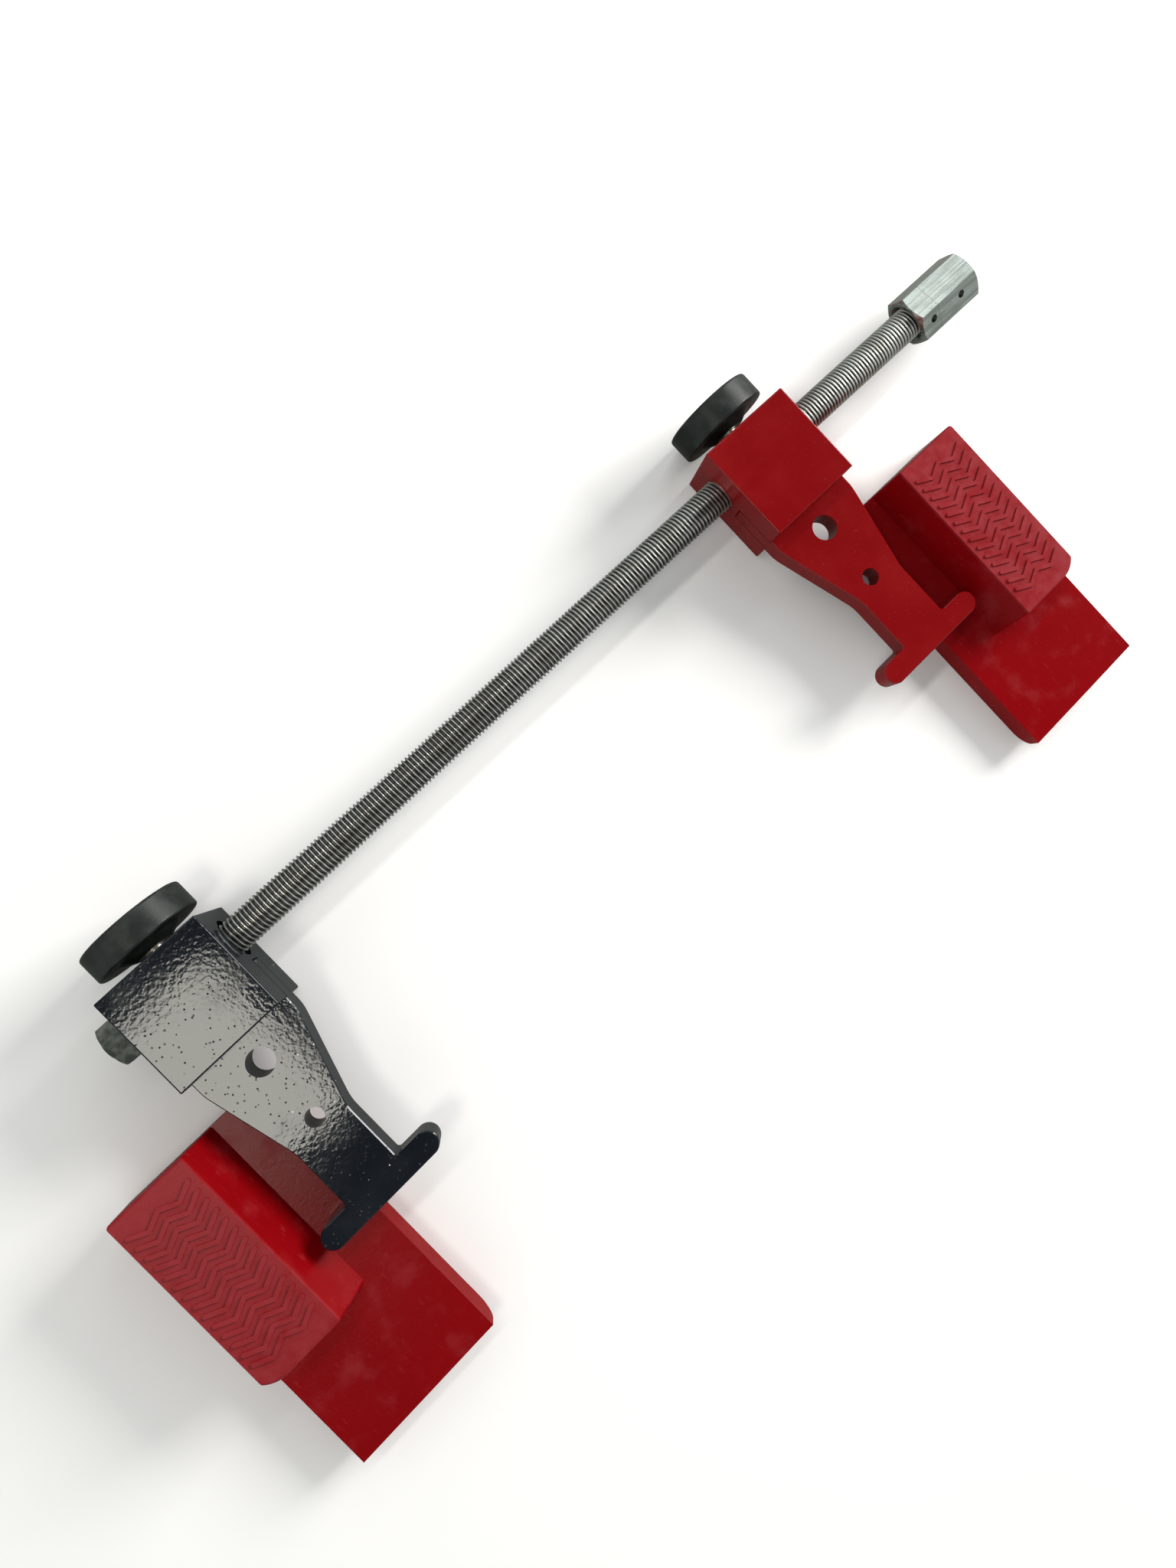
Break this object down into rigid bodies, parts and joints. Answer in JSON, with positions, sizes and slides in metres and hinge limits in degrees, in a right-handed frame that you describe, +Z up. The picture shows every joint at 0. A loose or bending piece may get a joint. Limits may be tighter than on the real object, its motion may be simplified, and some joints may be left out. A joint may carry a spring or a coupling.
{
  "type": "wheel clamp",
  "caption": "Screw-operated two-jaw wheel clamp: a threaded bar, one fixed and one travelling jaw with cross-headed arms, locking knobs and moulded shoes.",
  "frame": {"origin": "centre of the clamp's footprint, on the table that it lies on", "axes": "+X along the screw towards the drive nut, +Y towards the locking knobs, +Z up from the table"},
  "size_m": [0.584, 0.2346, 0.048],
  "materials": {
    "zinc_thread": "bright zinc-plated screw thread",
    "zinc_nut": "zinc-plated hexagon with turning and saw marks",
    "pin_steel": "dark oiled spring steel",
    "dark_nut": "dark oiled steel",
    "black_coat": "gloss black powder coat with orange peel",
    "red_coat": "smooth deep red powder coat",
    "bronze": "plain turned bronze",
    "knob_black": "matte black moulded plastic",
    "stud_zinc": "bright zinc-plated stud",
    "red_plastic": "satin red moulded plastic with chalky wear on the tread"
  },
  "bodies": {
    "fixed_jaw": {"fixed_block": "black_coat", "fixed_arm": "black_coat", "fixed_bush": "bronze"},
    "screw": {"threaded_rod": "zinc_thread", "drive_nut": "zinc_nut", "drive_nut_pins": "pin_steel", "end_nut": "dark_nut", "end_washer": "dark_nut"},
    "travelling_jaw": {"travelling_block": "red_coat", "travelling_arm": "red_coat", "travelling_nut": "bronze"},
    "fixed_pad": {"fixed_knob_pad": "bronze"},
    "fixed_knob": {"fixed_knob": "knob_black", "fixed_knob_insert": "bronze", "fixed_knob_stud": "stud_zinc"},
    "travelling_pad": {"travelling_knob_pad": "bronze"},
    "travelling_knob": {"travelling_knob": "knob_black", "travelling_knob_insert": "bronze", "travelling_knob_stud": "stud_zinc"},
    "fixed_shoe": {"fixed_shoe": "red_plastic"},
    "travelling_shoe": {"travelling_shoe": "red_plastic"}
  },
  "joints": [
    {"name": "screw_turn", "type": "hinge", "parent": "fixed_jaw", "child": "screw", "pos_m": [-0.2055, 0.08225, 0.024], "axis": [1, 0, 0], "range_deg": [-14041, 50401]},
    {"name": "jaw_travel", "type": "slide", "parent": "fixed_jaw", "child": "travelling_jaw", "axis": [1, 0, 0], "range_m": [-0.28, 0.078]},
    {"name": "fixed_knob_travel", "type": "slide", "parent": "fixed_jaw", "child": "fixed_pad", "axis": [0, 1, 0], "range_m": [0, 0.003]},
    {"name": "fixed_knob_turn", "type": "hinge", "parent": "fixed_pad", "child": "fixed_knob", "pos_m": [-0.2055, 0.10425, 0.024], "axis": [0, 1, 0], "range_deg": [-1, 721]},
    {"name": "travelling_knob_travel", "type": "slide", "parent": "travelling_jaw", "child": "travelling_pad", "axis": [0, 1, 0], "range_m": [0, 0.003]},
    {"name": "travelling_knob_turn", "type": "hinge", "parent": "travelling_pad", "child": "travelling_knob", "pos_m": [0.1405, 0.10425, 0.024], "axis": [0, 1, 0], "range_deg": [-1, 721]},
    {"name": "fixed_shoe_slide", "type": "slide", "parent": "fixed_jaw", "child": "fixed_shoe", "axis": [-1, 0, 0], "range_m": [0, 0.06]},
    {"name": "travelling_shoe_slide", "type": "slide", "parent": "travelling_jaw", "child": "travelling_shoe", "axis": [1, 0, 0], "range_m": [0, 0.06]}
  ],
  "couplings": [
    {"joint": "screw_turn", "follows": "jaw_travel", "rad_per_m": -3141.6},
    {"joint": "fixed_knob_turn", "follows": "fixed_knob_travel", "rad_per_m": 4188.8},
    {"joint": "travelling_knob_turn", "follows": "travelling_knob_travel", "rad_per_m": 4188.8}
  ]
}
